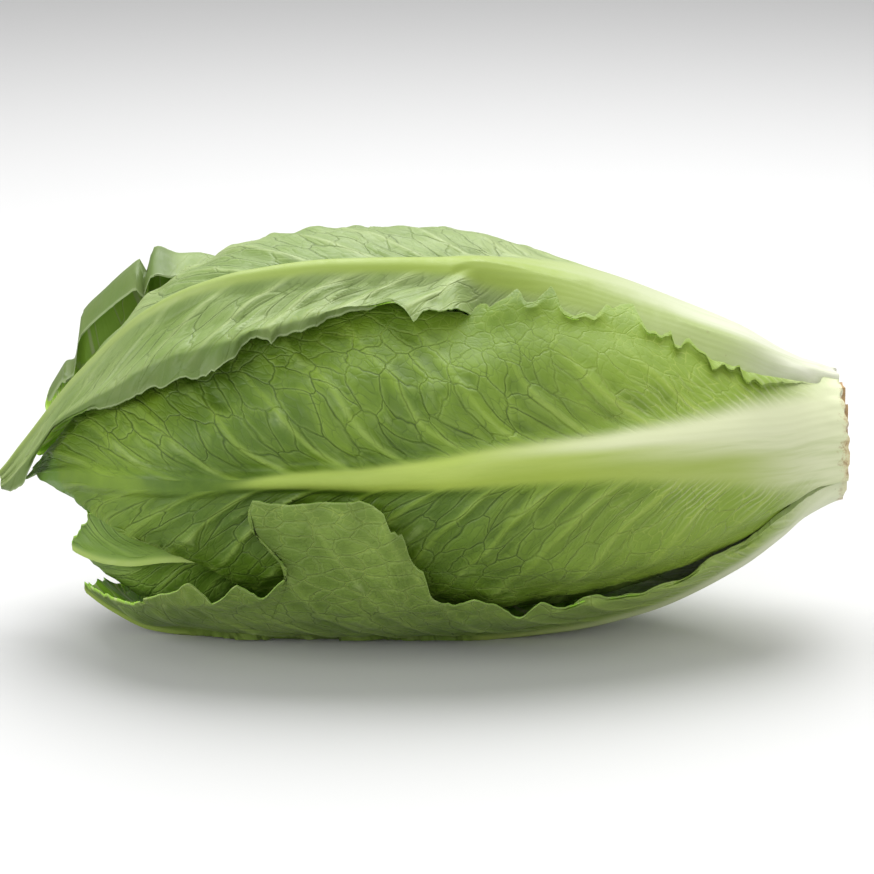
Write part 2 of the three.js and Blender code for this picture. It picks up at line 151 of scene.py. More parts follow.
def mid_z(x):
    return (top_z(x) + low_z(x)) / 2


def radius(x):
    return (top_z(x) - low_z(x)) / 2


def slant(x):
    return np.minimum(2.2, np.hypot(1, (radius(x + 2) - radius(x - 2)) / 4))


def place(x, a, d):
    r = radius(x)
    return np.stack([x, -(r * ROUND - d) * np.cos(a), mid_z(x) + (r - d) * np.sin(a)], -1)


def floor_depth(x, a):
    """Depth at which the surface under the head meets the floor."""
    s = np.sin(a)
    return np.where(s < -0.1, radius(x) + mid_z(x) / np.where(s < -0.1, s, -1), -99)


# ------------------------------------------------------------------ how deep the next leaf must start
X0, X1, DX, NA = -156.0, 150.0, 1.5, 216
NX = int((X1 - X0) / DX) + 1
DA = 2 * math.pi / NA
XS = X0 + DX * np.arange(NX)
reach = mix(12, 1.6, smooth(94, 138, XS))
reach_x = np.maximum(1, np.round(reach / DX)).astype(int)
reach_a = np.clip(np.round(reach / (np.maximum(12, radius(XS)) * DA)), 1, 20).astype(int)


def read(f, x, a):
    u = np.clip((x - X0) / DX, 0, NX - 1.001)
    i = np.floor(u).astype(int)
    w = a / DA
    j = np.floor(w).astype(int)
    fu, fw, j0, j1 = u - i, w - j, j % NA, (j + 1) % NA
    return mix(mix(f[i, j0], f[i, j1], fw), mix(f[i + 1, j0], f[i + 1, j1], fw), fu)


def spread(f):
    """Spreads the field outward and smooths it, so that it never falls below what it was."""
    def sweep(g, sizes, axis, mean):
        out = np.zeros_like(g) if mean else np.full_like(g, -99.0)
        for k in range(-sizes.max(), sizes.max() + 1):
            if axis:
                moved = np.roll(g, -k, 1)
            else:
                moved = g[np.clip(np.arange(NX) + k, 0, NX - 1)]
            use = (np.abs(k) <= sizes)[:, None]
            out = out + np.where(use, moved, 0) if mean else np.where(use, np.maximum(out, moved), out)
        return out / (2 * sizes + 1)[:, None] if mean else out
    g = sweep(sweep(f, reach_x, 0, False), reach_a, 1, False)
    for half in (lambda n: n // 2, lambda n: n - n // 2):
        g = sweep(sweep(g, half(reach_x), 0, True), half(reach_a), 1, True)
    return g


def cover(f, x, a, value, where=None):
    """Raises the field to value at the places (x, a) of a leaf's grid."""
    def finer(m):
        m = np.concatenate([m, (m[:-1] + m[1:]) / 2])[np.argsort(np.concatenate(
            [np.arange(len(m)), np.arange(len(m) - 1) + 0.5]))]
        k = np.argsort(np.concatenate([np.arange(m.shape[1]), np.arange(m.shape[1] - 1) + 0.5]))
        return np.concatenate([m, (m[:, :-1] + m[:, 1:]) / 2], 1)[:, k]
    x, a, value = finer(x), finer(a), finer(value)
    if where is not None:
        keep = where(x)
        x, a, value = x[keep], a[keep], value[keep]
    i = np.clip(np.floor((x - X0) / DX).astype(int), 0, NX - 2).ravel()
    j = np.floor(a / DA).astype(int).ravel()
    for di in (0, 1):
        for dj in (0, 1):
            np.maximum.at(f, (i + di, (j + dj) % NA), value.ravel())


# ------------------------------------------------------------------ node writing, for shapes and finishes
class Nodes:
    """A node tree, written short."""

    def __init__(self, tree):
        self.tree = tree

    def put(self, socket, value):
        if isinstance(value, bpy.types.NodeSocket):
            self.tree.links.new(value, socket)
        elif isinstance(value, tuple) and len(value) == 3 and socket.type == "RGBA":
            socket.default_value = (*value, 1)
        else:
            socket.default_value = value

    def node(self, kind, **sockets):
        n = self.tree.nodes.new(kind)
        for key, value in sockets.items():
            self.put(n.inputs[key.replace("_", " ")], value)
        return n

    def maths(self, op, a, b=0.0, c=0.0):
        n = self.tree.nodes.new("ShaderNodeMath")
        n.operation = op
        for socket, value in zip(n.inputs, (a, b, c)):
            self.put(socket, value)
        return n.outputs[0]

    def add(self, a, b):
        return self.maths("ADD", a, b)

    def times(self, a, b):
        return self.maths("MULTIPLY", a, b)

    def split(self, vector):
        return self.node("ShaderNodeSeparateXYZ", Vector=vector).outputs

    def join(self, x, y, z=0.0):
        return self.node("ShaderNodeCombineXYZ", X=x, Y=y, Z=z).outputs[0]

    def net(self, where, scale, feature="DISTANCE_TO_EDGE", out="Distance"):
        n = self.tree.nodes.new("ShaderNodeTexVoronoi")
        n.voronoi_dimensions, n.feature = "2D", feature
        n.inputs["Scale"].default_value = scale
        self.put(n.inputs["Vector"], where)
        return n.outputs[out]

    def length(self, a, b):
        return self.maths("SQRT", self.add(self.times(a, a), self.times(b, b)))

    def vein_net(self, where, grain):
        """Distances in mm from the side veins, the cells between them and the small cells, and a
        number for each cell."""
        P, q, _ = self.split(where)
        p_out, q_out, _ = self.split(grain)
        count = self.times(P, CELL / VEIN)
        strip = self.maths("ROUND", count)
        off = self.maths("ABSOLUTE", self.maths("SUBTRACT", count, strip))
        vein = self.maths("DIVIDE", self.times(off, VEIN / CELL), self.length(1 / CELL, p_out))
        warp = self.node("ShaderNodeTexNoise", Vector=self.join(P, q), Scale=0.9, Detail=2.0,
                         Roughness=0.55)
        bend = self.split(warp.outputs["Color"])
        P = self.add(P, self.times(self.maths("SUBTRACT", bend[0], 0.5), 0.8))
        q = self.add(q, self.times(self.maths("SUBTRACT", bend[1], 0.5), 0.8))

        def distance(scale, step=0.02):
            at = self.net(self.join(P, q), scale)
            on = self.net(self.join(self.add(P, step / scale), q), scale)
            up = self.net(self.join(P, self.add(q, step / scale)), scale)
            dp = self.times(self.maths("SUBTRACT", on, at), 1 / step)
            dq = self.times(self.maths("SUBTRACT", up, at), 1 / step)
            slope = self.length(self.add(self.times(dp, 1 / CELL), self.times(dq, 1 / CELL / STRETCH)),
                                self.maths("SUBTRACT", self.times(dq, q_out), self.times(dp, p_out)))
            return self.maths("DIVIDE", self.times(at, 1 / scale), self.maths("MAXIMUM", slope, 0.03))

        shade = self.split(self.net(self.join(P, q), 1.0, "F1", "Color"))[0]
        return vein, distance(1.0), self.times(self.net(self.join(P, q), 2.9), CELL / 2.9), shade


# ------------------------------------------------------------------ veins: places along and across them
# mm along the rib from cell to cell and from side vein to side vein, and how long a cell is for its width
CELL, VEIN, STRETCH = 8.5, 22.0, 3.4
BEND, LEAN, NEAR = 14.0, 0.3, 3.0           # how the side veins turn outwards from the rib
EVEN = 0.65                                 # how fast the even net near the margin counts outwards


def vein_place(along, across, seed):
    """Place on the net, and how fast it runs outwards: P counts from vein to vein, q out along them."""
    b = np.abs(across)
    along = (along + 8 * (lumps(along / 17, across / 17, seed + 5) - 0.5)
             + 3 * (lumps(along / 5, across / 5, seed + 6) - 0.5))
    p = along - (BEND * np.log1p(b / NEAR) + LEAN * b)
    slope = BEND / (NEAR + b) + LEAN
    # the net is long along the veins in the middle of the blade, and even near the margin
    t = np.clip((b - 28) / 28, 0, 1)
    q = (along + (b - BEND / LEAN * np.log1p(LEAN * b / (BEND + LEAN * NEAR))) / LEAN) / STRETCH
    q = q + EVEN * (28 * (t ** 3 - t ** 4 / 2) + np.maximum(0, b - 56))
    q_slope = 1 / slope / STRETCH + EVEN * t * t * (3 - 2 * t)
    apart = 400 + 57.3 * seed + np.where(across < 0, 211.0, 0)          # no two halves are alike
    where = np.stack([p / CELL + apart, q / CELL + 31.7 * seed, 0 * q], -1)
    return where, np.stack([slope / CELL, q_slope / CELL, 0 * q], -1)


def net_reader():
    """Writes the net's distances on each vertex."""
    tree = bpy.data.node_groups.new("vein_net_reader", "GeometryNodeTree")
    for way in ("INPUT", "OUTPUT"):
        tree.interface.new_socket("Geometry", in_out=way, socket_type="NodeSocketGeometry")
    n = Nodes(tree)
    start, end = tree.nodes.new("NodeGroupInput"), tree.nodes.new("NodeGroupOutput")

    def mark(name):
        node = tree.nodes.new("GeometryNodeInputNamedAttribute")
        node.data_type = "FLOAT_VECTOR"
        node.inputs[0].default_value = name
        return node.outputs[0]
    flow = start.outputs[0]
    for name, value in zip(NET_MARKS, n.vein_net(mark("veins"), mark("grain"))):
        keep = tree.nodes.new("GeometryNodeStoreNamedAttribute")
        keep.data_type = "FLOAT"
        keep.inputs["Name"].default_value = name
        n.put(keep.inputs["Value"], value)
        n.put(keep.inputs["Geometry"], flow)
        flow = keep.outputs[0]
    n.put(end.inputs[0], flow)
    return tree


NET_MARKS = ("side_vein", "cell", "small_cell", "shade")
NET_READER = net_reader()


# ------------------------------------------------------------------ one leaf
# rib: share of the leaf's length, half width and thickness
RIB = [
    (0, 13, 5.2), (0.055, 15, 6.4), (0.18, 11, 5.8), (0.31, 7.4, 4.6), (0.43, 6.2, 3.8), (0.55, 4.8, 3),
    (0.68, 3, 2.2), (0.85, 1.7, 1.6), (1, 0.9, 1.0)]
WIDE_RIB = [
    (0, 14), (0.055, 17), (0.18, 17), (0.31, 15), (0.37, 11), (0.43, 7.5), (0.5, 4.8), (0.65, 3.7),
    (0.8, 2.4), (0.92, 1.3), (1, 0.7)]
rib_thick = curve(RIB, 2)


def teeth(t, seed, fine=1.0):
    """Torn margin: uneven pointed teeth, in shares of the tooth height, along a margin measured in mm."""
    u = t / 8.5 * fine + 0.45 * np.sin(t * 0.21 + seed) + 13 * seed
    n = np.floor(u)
    f = u - n
    peak = 0.25 + 0.5 * hashed(n * 1.7 + seed)
    tri = np.where(f < peak, f / peak, (1 - f) / (1 - peak))
    big = (0.25 + 0.95 * hashed(n + seed * 3.3)) * tri ** 1.25
    v = t / 3.1 + seed
    m = np.floor(v)
    g = v - m
    small = 0.4 * hashed(m + 7.7) * (1 - np.abs(2 * g - 1))
    return big + small - 0.55


class Leaf:
    def __init__(self, name, stations, rows, side, seed, tip, tooth=(2.8, 2.8), ruffle=2.0, flutter=0.0,
                 waves=5, pucker=1.0, inner=False, rib_scale=1.0, lift=None, even=None, lobes=2.0,
                 margins=(None, None), skew=None, turned=None,
                 rib_rows=RIB, rib_end=(1.2, 1.3), calm=None, sag=None, tip_shade_from=2.0):
        self.name, self.rows, self.side, self.seed, self.inner = name, rows, side, seed, inner
        self.ruffle, self.flutter, self.waves = ruffle, flutter, waves
        self.pucker, self.lift = pucker, lift
        self.rib_width, self.rib_end, self.sag = curve(rib_rows, 1), rib_end, sag
        self.lay_out(stations, tip, tooth, rib_scale, even, lobes, margins, skew)
        self.turned = turned(self.x, self.edge, self.v) if turned else 0 * self.x
        self.quiet = calm(self.x, self.edge, self.v) if calm else 0 * self.x
        # where the band of painted shade over the tip begins
        self.dark = smooth(tip_shade_from, tip_shade_from + 0.008, self.s)

    def lay_out(self, stations, tip, tooth, rib_scale, even, lobes, margins, skew):
        """The leaf's grid round the head, before its depth is known."""
        low, rib, up = (curve(stations, k) for k in (1, 2, 3))
        xb, xt = stations[0][0], stations[-1][0]
        s = (np.arange(self.rows + 1) / self.rows)[:, None]
        x = mix(xb, xt, 1 - (1 - s) ** 1.12)
        s = (xb - x) / (xb - xt)
        v = np.arange(-self.side, self.side + 1)[None, :] / self.side
        v = np.sign(v) * np.abs(v) ** 0.94
        sign = np.sign(v)
        R = np.maximum(16, radius(x))
        wide = np.where(v > 0, up(x) - rib(x), rib(x) - low(x)) * DEG * R
        edge = np.abs(v) + 0 * s
        off = edge * wide
        t = (xb - x) * 1.05
        grow = smooth(0.1, 0.22, s)
        if even:
            grow = grow * (1 - smooth(even[0] - 3, even[0], x) * smooth(even[1] + 3, even[1], x))
        near = smooth(0.74, 1, edge) ** 1.5
        hi = np.where(v > 0, tooth[1], tooth[0])
        nibbled = hi * teeth(t + 400 * (v > 0), self.seed)
        free = nibbled + lobes * (lumps(t / 9, 3 * sign, self.seed + 2) - 0.5) * 2
        for side, rows in ((-1, margins[0]), (1, margins[1])):
            if rows:
                at, angle = np.array(sorted(rows)).T
                torn = np.abs(np.interp(x, at, angle) - rib(x)) * DEG * R - wide
                torn = torn + teeth(t * 1.4 + 70, self.seed + 9) - 0.3
                known = smooth(at[0] - 6, at[0], x) * smooth(at[-1] + 6, at[-1], x)
                free = np.where(v * side > 0, mix(free, torn, known), free)
                grow = np.where(v * side > 0, mix(grow, 1, known), grow)
        off = off + near * grow * free
        lag = np.where(v > 0, tip[1], tip[0]) * edge ** 1.8 * smooth(0.35, 1, s)
        arc = sign * off
        nibbled_tip = tooth[0] * (0.4 - teeth(arc * 1.3 + 900, self.seed + 1))
        px = x + lag + smooth(0.93, 1, s) ** 1.5 * nibbled_tip
        self.a = rib(x) * DEG + sign * off / R
        if skew:
            move = skew(x, self.a / DEG, edge, v)
            px, self.a = px + move[0], self.a + move[1] * DEG
        self.s, self.v, self.edge, self.sign = s + 0 * v, v + 0 * s, edge, sign + 0 * s
        self.x, self.rim = px, (1 - edge) * wide
        self.along, self.across = (xb - px) * 1.04, arc
        self.half = np.minimum(self.rib_width(s) * rib_scale, wide * 0.62) + 0 * v
        self.thick = rib_thick(s) * rib_scale + 0 * v
        # the piece's grid, and the marks that its shape and colours follow
        w, h = 2 * self.side, self.rows
        bpy.ops.mesh.primitive_grid_add(x_subdivisions=w, y_subdivisions=h, size=1)
        o = bpy.context.object
        o.name = o.data.name = self.name
        co = points_of(o)
        row, column = (np.round((co[:, k] + 0.5) * n).astype(int) for k, n in ((1, h), (0, w)))
        self.pick = row * (w + 1) + column
        for name, value in zip(("veins", "grain"), vein_place(self.along, self.across, self.seed)):
            write_mark(o, name, value.reshape(-1, 3)[self.pick])
        o.modifiers.new("vein net", "NODES").node_group = NET_READER
        bpy.ops.object.modifier_apply(modifier="vein net")
        self.net = [self.fetch(o, n) for n in NET_MARKS]
        self.object = o
        o.select_set(False)

    def fetch(self, o, name):
        got = np.empty(len(o.data.vertices))
        o.data.attributes[name].data.foreach_get("value", got)
        out = np.empty_like(got)
        out[self.pick] = got
        return out.reshape(self.rows + 1, 2 * self.side + 1)

    def shape(self, under, ceiling=None):
        """Sets the outer and inner depth of every point."""
        x, a, s, edge = self.x, self.a, self.s, self.edge
        f, R = slant(x), radius(x)
        over, floor = read(under, x, a), floor_depth(x, a)
        press = np.maximum(0, floor)
        base = np.maximum(over, press)
        if self.sag:
            base = np.maximum(base, self.sag(x, a / DEG))
        free = smooth(0.12, 0.3, s)
        b = np.abs(self.across) / np.maximum(self.half, 0.8)
        ends = 1 - smooth(*self.rib_end, s)
        ribbed = np.exp(-(b / 0.9) ** 2.6) * ends                # 1 on the rib's crown
        sink = (1.3 if self.inner else 2.3) * (1 - ribbed) * smooth(0.05, 0.2, s)
        groove = (0 if self.inner else 0.6) * ends * np.exp(-((b - 1.7) / 0.5) ** 2) * smooth(0.1, 0.3, s)
        wave = self.ruffle * free * edge ** 2.2 * (0.5 + 0.5 * np.sin(
            2 * math.pi * (s * self.waves + 0.13 * self.seed) + self.sign * 1.3))
        wide = np.maximum(self.half, mix(0.8, 2.8, smooth(0.6, 0.8, s)))
        broad = free * smooth(0.8, 2.2, np.abs(self.across) / wide) * (
            self.pucker * lumps(self.along / 12, self.across / 10, self.seed)
            + 0.9 * lumps(self.along / 5, self.across / 5, self.seed + 4))
        broad = broad * (1 + smooth(0.62, 0.8, s))
        # side veins stand up from the blade, which swells between them
        vein, cell, small, shade = self.net
        blade = smooth(0.9, 1.9, np.abs(self.across) / wide) * smooth(0.06, 0.25, s)
        tall = mix(0.85, 0.35, smooth(0, 40, np.abs(self.across))) * smooth(0.12, 0.3, s)
        ridge = tall * (np.exp(-(vein / 1.7) ** 2) - 0.55 * np.exp(-((vein - 4.2) / 2) ** 2))
        ridge = ridge * mix(1, 0.55, smooth(0.68, 0.82, s))
        swell = mix(-0.75, 0.95, shade) * mix(0.3, 1, smooth(0.25, 0.5, s))
        swell = (1 - np.exp(-(cell / 2.4) ** 2)) * swell
        grainy = 0.07 * (1 - np.exp(-(small / 0.8) ** 2))
        calmer = mix(1, 0.4, smooth(0.85, 1, edge)) * (1 - self.quiet) * (0.7 if self.inner else 1)
        self.high = blade * (ridge + swell + grainy) * calmer
        strips = 0.025 * np.sin(self.across * 2.4 + 1.5 * np.sin(self.along * 0.03))
        strips = strips * ribbed * (1 - smooth(0.3, 0.7, s))
        open_ = 1 - smooth(0, 0.5, over)
        out_wave = self.flutter * free * open_ * edge ** 2.5 * (0.5 + 0.5 * np.sin(
            2 * math.pi * (s * self.waves * 0.8 + 0.37 * self.seed) + self.sign * 2.1))
        small_wave = 0.9 * free * open_ * edge ** 5 * (1 - self.quiet)
        small_wave = small_wave * np.sin(self.along * 0.42 + self.seed)
        lift = self.lift(x, a / DEG, edge, self.v, s) if self.lift else 0
        loose = np.where((press > 0) & (over < 0.01), 0.25, 1.0)
        self.out = np.maximum(base + (sink + groove + wave + broad + strips - self.high) * loose
                              - lift - out_wave - small_wave * loose, floor)
        if ceiling is not None:
            room = read(ceiling, x, a) - UNDER_ROOM
            self.out = mix(self.out, np.minimum(self.out, room), smooth(19, 6, x))
        rib_part = np.exp(-b ** 2)
        wall = BLADE + (self.thick - BLADE) * np.maximum(rib_part, 0.6 * (1 - smooth(0.02, 0.2, s)))
        wall = np.maximum(THINNEST, wall * mix(1, 0.6, smooth(0.85, 1, edge)))
        self.inn = np.minimum(self.out + wall * f, R * 0.93)

    def build(self):
        """Gives the flat grid its walls and sets both faces in place."""
        o = self.object
        me = o.data
        bpy.context.view_layer.objects.active = o
        o.select_set(True)
        ids = me.attributes.new("spot", "INT", "POINT")
        ids.data.foreach_set("value", self.pick.astype(np.int32))
        edit_all(lambda: bpy.ops.mesh.extrude_region_move(TRANSFORM_OT_translate={"value": (0, 0, -1)}))
        inner = points_of(o)[:, 2] < -0.5
        spot = np.empty(len(inner), np.int32)
        me.attributes["spot"].data.foreach_get("value", spot)
        faces = [cut_off(place(self.x, self.a, d)).reshape(-1, 3) for d in (self.out, self.inn)]
        at = np.where(inner[:, None], faces[1][spot], faces[0][spot])
        set_points(o, at)
        width = np.abs(self.across) / np.maximum(self.half, 0.8)
        ends = 1 - smooth(*self.rib_end, self.s)
        marks = {"rib": ends * np.exp(-(width / mix(1.2, 1.0, self.s)) ** 2.4), "along": self.s,
                 "rim": self.rim, "across": self.across, "high": self.high, "turned": self.turned,
                 "quiet": self.quiet, "dark": self.dark}
        for name, value in marks.items():
            write_mark(o, name, value.reshape(-1)[spot])
        write_mark(o, "inside", inner)
        for gone in ("spot",) + NET_MARKS:
            me.attributes.remove(me.attributes[gone])
        edit_all(face_outwards)
        bpy.ops.object.shade_smooth_by_angle(angle=math.radians(62))
        o.select_set(False)
        return o


def cut_off(at):
    """The butt isn't cut quite straight: it is furthest out in its lower half, and a little uneven."""
    x, y, z = at[..., 0], at[..., 1], at[..., 2]
    back = 0.0032 * (z - 60) ** 2 + 0.5 * np.sin(y * 0.35 + 1) * np.sin(z * 0.3)
    back = back + 0.5 * np.sin(z * 0.9 + y * 0.5)
    return np.stack([x - np.maximum(0, back) * smooth(132, 143, x), y, z], -1)


def common(base, mid, xb, xt, wide):
    """Stations of a leaf like most of them."""
    rows = []
    for s, w in ((0, 31), (0.06, 33), (0.15, 0.62 * wide), (0.3, 0.86 * wide), (0.55, wide),
                 (0.8, 0.95 * wide), (0.93, 0.8 * wide), (1, 0.62 * wide)):
        lean = float(mix(base, mid, smooth(0, 0.35, s)))
        rows.append((xb - (xb - xt) * s, lean - w, lean, lean + w))
    return rows


def lift_bottom(x, a, edge, v, s):
    close = smooth(0.78, 1, edge) * smooth(0, 25, x) + 2 * smooth(0.6, 1, edge) * smooth(70, 115, x)
    return 2.5 * (v > 0) * smooth(0.7, 1, edge) * smooth(10, -30, x) - close


def lift_front(x, a, edge, v, s):
    up = 2.2 * (v > 0) * smooth(0.72, 0.95, edge) * smooth(12, 26, x) * smooth(132, 112, x)
    down = 2.2 * (v < 0) * smooth(0.45, 0.75, edge) * smooth(-10, 20, x) * smooth(134, 115, x)
    return up + down - 2.5 * smooth(0.962, 1, s)


def strip_start(x):
    """Where the rolled strip under the margin of the upper leaf begins."""
    return mix(0.70, 0.87, smooth(-95, -50, x))


def lift_above(x, a, edge, v, s):
    start = strip_start(x)
    roll = smooth(start - 0.3, start, edge) * (1 - 0.5 * smooth(start + 0.04, 1, edge))
    tongue = 1.2 * smooth(0.8, 1, edge) * smooth(17, 10, x) * smooth(-14, -2, x)
    return (v < 0) * (4 * smooth(8, -42, x) * roll + tongue) + 2 * smooth(-110, -141, x)


def sag_above(x, a):
    """The upper leaf sinks slowly to where it runs in under its neighbour."""
    return 3.6 * smooth(-60, 35, x) * smooth(125, 80, x) * smooth(102, 76, a) * smooth(52, 62, a)


def calm_front(x, edge, v):
    return 0.85 * (v > 0) * smooth(0.3, 0.7, edge) * smooth(-20, 25, x)


def calm_above(x, edge, v):
    return 0.9 * (v < 0) * smooth(12, 32, x)


def calm_back(x, edge, v):
    return 0.85 * (v < 0) * smooth(0.3, 0.5, edge) * smooth(-70, -85, x)


FOLD_HEIGHT = curve([
    (-62, 0), (-69, 1.4), (-77.6, 6.3), (-86, 10.9), (-94.9, 19.8), (-96.8, 13.5), (-99.6, 20.5),
    (-103.2, 21.7), (-111.8, 24), (-119.3, 26), (-121.5, 13), (-126, 18), (-131, 17)])


def lift_back(x, a, edge, v, s):
    """The back leaf's margin stands off the head in a folded, notched flap."""
    fold = smooth(0.42, 0.84, edge) * (1 - 0.2 * smooth(0.88, 1, edge))
    return (v < 0) * fold * FOLD_HEIGHT(x)


def lift_low_back(x, a, edge, v, s):
    return 5 * smooth(-90, -124, x) * smooth(0.9, 0.4, edge)


def lift_top(x, a, edge, v, s):
    return 9 * smooth(-92, -118, x) * smooth(94, 99, a) * smooth(114, 106, a)


def skew_flap(x, a, edge, v):
    return -16 * smooth(-26, -50, x) * smooth(-28, -6, a), 0


def skew_back(x, a, edge, v):
    return 0, -7 * (v < 0) * smooth(0.84, 1, edge) * smooth(-84, -94, x)


def turned_back(x, edge, v):
    return (v < 0) * smooth(0.82, 0.86, edge) * smooth(-82, -92, x)


# mask of the rolled strip, which the finish darkens with painted shade
def rolled_strip(x, edge, v):
    return (v < 0) * smooth(strip_start(x), strip_start(x) + 0.05, edge) * smooth(-2, -30, x)


fine = 1.0


def count(n):
    return int(n * fine)


# torn margins, followed closely: x, degrees round the head
FRONT_UPPER = [
    (15, 54), (18.4, 58.5), (21.5, 56), (25.7, 58), (30.8, 62.4), (31.9, 59), (32.9, 56.6), (36, 58.3),
    (41.7, 67.4), (43.7, 63.6), (45, 58.6), (49.3, 57.4), (52.6, 60.6), (56.1, 59.4), (60.3, 68),
    (62.3, 66.8), (66, 71.3), (69.2, 73.2), (71.3, 65.5), (73.8, 59.2), (76.9, 60.8), (78, 58),
    (81.8, 63), (82.6, 56.3), (84.4, 55.6), (87.4, 61.4), (90.6, 56.7), (93.8, 55.9), (95.2, 49.4),
    (96.9, 49.8), (99.7, 53.7), (101, 50), (104.8, 53.3), (105.9, 48.3), (107.5, 45.9), (109.7, 49.4),
    (112.3, 46.4), (117.2, 50.8), (124.4, 56.3), (132, 60)]
ABOVE_LOWER = [
    (-144, 0), (-138, 14), (-134.5, 34), (-131, 46), (-126, 49.5), (-121.8, 48.2), (-107.3, 39.3),
    (-97.6, 36.5), (-90.5, 37.4), (-88.4, 35), (-79.9, 34.8), (-77.6, 33.5), (-69.7, 34.4), (-66.4, 35.7),
    (-62.8, 37.6), (-61.2, 40.4), (-58, 42.6), (-52.7, 41), (-50.8, 39.4), (-49.8, 41.6), (-43.9, 42.8),
    (-41, 41.8), (-37.7, 43), (-34.5, 44.8), (-32.6, 46.5), (-28.1, 47), (-19.9, 50), (-12.8, 53),
    (-9.1, 50.5), (-6.5, 48.5), (-3.9, 45.4), (-1.6, 48.8), (0.7, 50), (7.5, 50.8), (11.8, 52),
    (15.8, 53.5), (18, 59)]
UNDER_UPPER = [
    (-110, -35), (-98, -30), (-90, -38), (-80, -31), (-70, -36), (-60, -27), (-55, -2), (-44, -4),
    (-30, -3), (-22, -6), (-19, -12), (-14, -14), (-11, -24), (-6, -27), (-3, -38), (6, -44), (14, -38),
    (22, -44), (30, -51), (38, -45), (50, -52), (58, -46), (66, -54), (76, -47), (88, -51), (96, -44),
    (108, -47), (118, -40), (130, -39)]

LEAVES = [
    Leaf("leaf_03", [
        (BUTT, -106, -72, -39), (130, -110, -74, -38), (108, -126, -76, -40), (80, -139, -79, -43),
        (40, -146, -80, -44), (0, -148, -82, -43), (-8, -148, -82, -36), (-20, -147, -82, -8),
        (-44, -146, -82, -2), (-52, -145, -82, -1), (-58, -143, -82, -29), (-92, -136, -82, -36),
        (-108, -128, -82, -36), (-118, -118, -82, -42)],
        count(190), count(60), 3, (24, 20), (3.0, 2.4), ruffle=1.4, flutter=1.0, pucker=0.8,
        lift=lift_bottom, lobes=3.0, skew=skew_flap, margins=(None, UNDER_UPPER)),
    Leaf("leaf_01", [
        (BUTT, -46, 16, 70), (125, -46, 15.5, 68), (108, -48, 15.5, 62), (90, -50, 14.5, 66),
        (74, -51, 13.2, 69), (57, -52, 11, 68), (40, -53, 8.8, 66), (24, -55, 6.5, 60),
        (8, -57, 4.2, 54.5), (-8, -57, 2.4, 60),
        (-25, -56, 1.2, 59), (-60, -53, 1.2, 55), (-80, -44, 3.3, 53), (-101, -30, 8.5, 54),
        (-115, -19, 13, 57), (-134, -6, 20, 57)],
        count(290), count(84), 1, (24, -7), (2.2, 4.4), ruffle=1.2, flutter=0.5, waves=6, pucker=1.9,
        even=(6, 13), lobes=1.0, lift=lift_front, margins=(None, FRONT_UPPER), rib_end=(0.66, 0.80),
        calm=calm_front, tip_shade_from=0.962),
    Leaf("leaf_04", [
        (BUTT, 54, 97, 135), (127, 51, 89, 137), (110, 47, 83, 140), (92, 49, 82, 143), (75, 51, 82, 146),
        (58, 53, 80, 143), (41, 54, 77.5, 140), (24, 55, 73.4, 132), (8, 53, 70, 123), (-8, 49, 68.2, 117),
        (-28, 45, 66, 110), (-42, 43, 65, 106), (-55, 40, 64.8, 103), (-68, 38, 65, 100), (-82, 35, 66, 98),
        (-96, 35, 68, 96), (-110, 37, 71, 95), (-126, 40, 70, 92), (-138, 22, 58, 86), (TIP, 2, 38, 76)],
        count(290), count(78), 4, (1, 6), (1.6, 1.6), ruffle=1.0, flutter=1.0, waves=7, pucker=1.9,
        even=(16, 26), lift=lift_above, lobes=1.0, margins=(ABOVE_LOWER, None), turned=rolled_strip,
        rib_rows=WIDE_RIB, sag=sag_above, calm=calm_above),
    Leaf("leaf_02", [
        (BUTT, 128, 170, 201), (127, 128, 169, 203), (103, 118, 162, 205), (63, 96, 154, 214),
        (-4, 88, 152, 219), (-50, 98, 152, 217), (-70, 106, 152, 214), (-84, 108, 153, 210),
        (-105, 106, 155, 203), (-124, 110, 160, 194), (-136, 122, 162, 190)],
        count(200), count(56), 2, (5, 16), ruffle=1.8, flutter=2.5, waves=6, pucker=1.9, lift=lift_back,
        skew=skew_back, calm=calm_back, turned=turned_back),
    Leaf("leaf_05", common(236, 206, BUTT, -124, 64), count(150), count(52), 5, (24, 24), ruffle=2.0,
         flutter=4.5, pucker=1.9, lift=lift_low_back),
    Leaf("leaf_07", common(134, 116, 137, -122, 60), count(160), count(50), 7, (18, 16), ruffle=2.0,
         flutter=2.5, waves=6, lift=lift_top),
    Leaf("leaf_06", common(-14, -34, 136, -121, 64), count(120), count(40), 6, (24, 24), flutter=2.5),
    Leaf("leaf_08", common(270, 250, 134, -118, 60), count(104), count(32), 8, (22, 22), flutter=2.5),
    Leaf("leaf_09", common(64, 34, 133, -120, 58), count(104), count(32), 9, (20, 20), ruffle=2.4),
    Leaf("leaf_10", common(203, 176, 131, -117, 60), count(104), count(32), 10, (20, 20), ruffle=2.4),
]
for n, base, mid, xb, xt in (
        (11, -46, -62, 122, -110), (12, 98, 80, 121, -114), (13, 238, 220, 120, -112),
        (14, 20, -4, 118, -108), (15, 160, 134, 116, -110), (16, 290, 272, 102, -104),
        (17, 60, 52, 100, -104), (18, 196, 188, 98, -102)):
    wide, rib_scale = (66, 0.6) if n > 15 else (62, 0.75)
    LEAVES.append(Leaf(f"leaf_{n}", common(base, mid, xb, xt, wide), count(70), count(22), n, (18, 18),
                       (2.4, 2.4), ruffle=2.2, waves=4, pucker=0.7, inner=True, rib_scale=rib_scale))

# ------------------------------------------------------------------ wrap the leaves, from the outside in
depth = np.zeros((NX, NA))


def gap_at(leaf, x):
    if leaf.inner or leaf.seed >= 6:
        return slant(x) * np.maximum(0.9, INNER_GAP * radius(x))
    return slant(x) * mix(OUTER_GAP, 1, smooth(110, 135, x))


def lay_down(leaf, field, where=None):
    cover(field, leaf.x, leaf.a, leaf.inn + gap_at(leaf, leaf.x), where)


